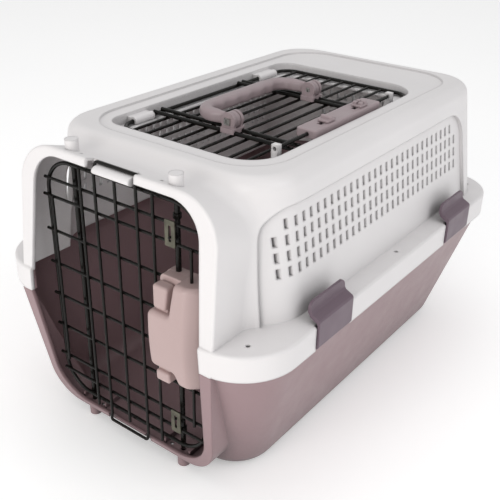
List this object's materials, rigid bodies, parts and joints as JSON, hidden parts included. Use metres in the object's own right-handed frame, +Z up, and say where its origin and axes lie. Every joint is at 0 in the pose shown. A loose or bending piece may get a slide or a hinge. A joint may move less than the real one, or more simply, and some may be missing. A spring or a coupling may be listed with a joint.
{
  "type": "pet carrier",
  "caption": "Hard plastic pet carrier with a tapered tub, vented top shell, wire front door, wire roof door and folding carry handle.",
  "frame": {"origin": "centre of the carrier's footprint on the floor", "axes": "+Z up, +Y from the front doorway towards the back, +X to the right side seen from the front"},
  "size_m": [0.3232, 0.48, 0.2986],
  "materials": {
    "shell_white": "satin moulded",
    "tub_mauve": "satin moulded",
    "clip_plum": "satin moulded",
    "wire_black": "gloss black coating",
    "rod_black": "gloss black coating",
    "plate_zinc": "yellow zinc plate",
    "pin_steel": "bright steel"
  },
  "bodies": {
    "carrier": {"base_tub": "tub_mauve", "top_shell": "shell_white", "clip_pin_left_front": "pin_steel", "clip_pin_left_rear": "pin_steel", "clip_pin_right_front": "pin_steel", "clip_pin_right_rear": "pin_steel"},
    "front_door": {"front_door_grid": "wire_black", "door_guide_plate_upper": "plate_zinc", "door_guide_plate_lower": "plate_zinc", "door_latch_front_cover": "tub_mauve", "door_latch_back_cover": "tub_mauve", "door_latch_screw_upper": "pin_steel", "door_latch_screw_lower": "pin_steel"},
    "door_latch_upper": {"door_latch_rod_upper": "rod_black", "door_rod_collar_upper": "rod_black", "door_latch_knob_upper": "tub_mauve"},
    "door_latch_lower": {"door_latch_rod_lower": "rod_black", "door_rod_collar_lower": "rod_black", "door_latch_knob_lower": "tub_mauve"},
    "roof_door": {"roof_door_grid": "wire_black", "handle_mount_front": "tub_mauve", "handle_mount_rear": "tub_mauve", "handle_pin_front": "tub_mauve", "handle_pin_rear": "tub_mauve", "roof_latch_cover": "tub_mauve", "roof_latch_base": "tub_mauve"},
    "handle": {"carry_handle": "tub_mauve"},
    "roof_latch_front": {"roof_bolt_front": "rod_black", "roof_latch_knob_front": "tub_mauve"},
    "roof_latch_rear": {"roof_bolt_rear": "rod_black", "roof_latch_knob_rear": "tub_mauve"},
    "side_clip_right_front_body": {"side_clip_right_front": "clip_plum"},
    "side_clip_right_rear_body": {"side_clip_right_rear": "clip_plum"},
    "side_clip_left_front_body": {"side_clip_left_front": "clip_plum"},
    "side_clip_left_rear_body": {"side_clip_left_rear": "clip_plum"}
  },
  "joints": [
    {"name": "front_door_hinge", "type": "hinge", "parent": "carrier", "child": "front_door", "pos_m": [-0.0593, -0.2126, 0.147], "axis": [0, 0, -1], "range_deg": [0, 110]},
    {"name": "door_latch_upper_slide", "type": "slide", "parent": "front_door", "child": "door_latch_upper", "axis": [0, 0, 1], "range_m": [-0.002, 0.0085]},
    {"name": "door_latch_lower_slide", "type": "slide", "parent": "front_door", "child": "door_latch_lower", "axis": [0, 0, -1], "range_m": [-0.002, 0.0085]},
    {"name": "roof_door_hinge", "type": "hinge", "parent": "carrier", "child": "roof_door", "pos_m": [-0.081, 0, 0.2775], "axis": [0, -1, 0], "range_deg": [0, 105]},
    {"name": "roof_latch_front_slide", "type": "slide", "parent": "roof_door", "child": "roof_latch_front", "axis": [0, -1, 0], "range_m": [-0.003, 0.0085]},
    {"name": "roof_latch_rear_slide", "type": "slide", "parent": "roof_door", "child": "roof_latch_rear", "axis": [0, 1, 0], "range_m": [-0.003, 0.0085]},
    {"name": "handle_fold", "type": "hinge", "parent": "roof_door", "child": "handle", "pos_m": [0.012, -0.01775, 0.2906], "axis": [0, 1, 0], "range_deg": [0, 105]},
    {"name": "side_clip_right_front_hinge", "type": "hinge", "parent": "carrier", "child": "side_clip_right_front_body", "pos_m": [0.1578, -0.128, 0.1426], "axis": [0, 1, 0], "range_deg": [0, 90]},
    {"name": "side_clip_right_rear_hinge", "type": "hinge", "parent": "carrier", "child": "side_clip_right_rear_body", "pos_m": [0.1578, 0.122, 0.1426], "axis": [0, 1, 0], "range_deg": [0, 90]},
    {"name": "side_clip_left_front_hinge", "type": "hinge", "parent": "carrier", "child": "side_clip_left_front_body", "pos_m": [-0.1578, -0.128, 0.1426], "axis": [0, -1, 0], "range_deg": [0, 90]},
    {"name": "side_clip_left_rear_hinge", "type": "hinge", "parent": "carrier", "child": "side_clip_left_rear_body", "pos_m": [-0.1578, 0.122, 0.1426], "axis": [0, -1, 0], "range_deg": [0, 90]}
  ]
}
